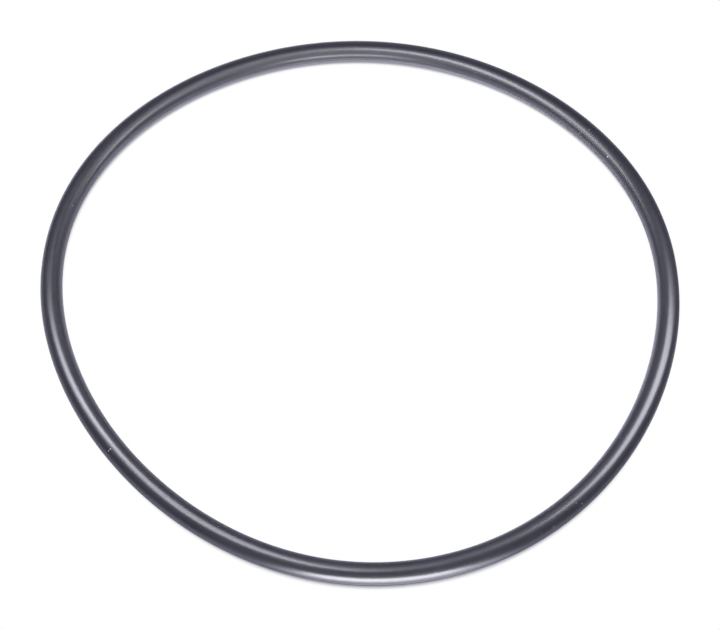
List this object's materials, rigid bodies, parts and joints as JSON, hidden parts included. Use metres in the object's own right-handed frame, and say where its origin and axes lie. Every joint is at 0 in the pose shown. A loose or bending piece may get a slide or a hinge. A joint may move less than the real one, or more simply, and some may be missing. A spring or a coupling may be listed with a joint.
{
  "type": "rubber o-ring",
  "caption": "Round-section rubber sealing ring, lying flat and free, slightly out of round as a relaxed soft ring is.",
  "frame": {"origin": "middle of the box round the ring's outline, at half the height of its section", "axes": "+Z along the ring's axis, up from the surface that it lies on; +X to the right and +Y away as the picture shows the ring"},
  "size_m": [0.1184, 0.1183, 0.004],
  "materials": {
    "rubber": "satin, blue-grey black, with a faint bloom and a few specks of dust",
    "dust": "pale dust grains and short lint fibres that lie on the rubber"
  },
  "bodies": {
    "root": {"o_ring": "rubber"}
  },
  "joints": []
}
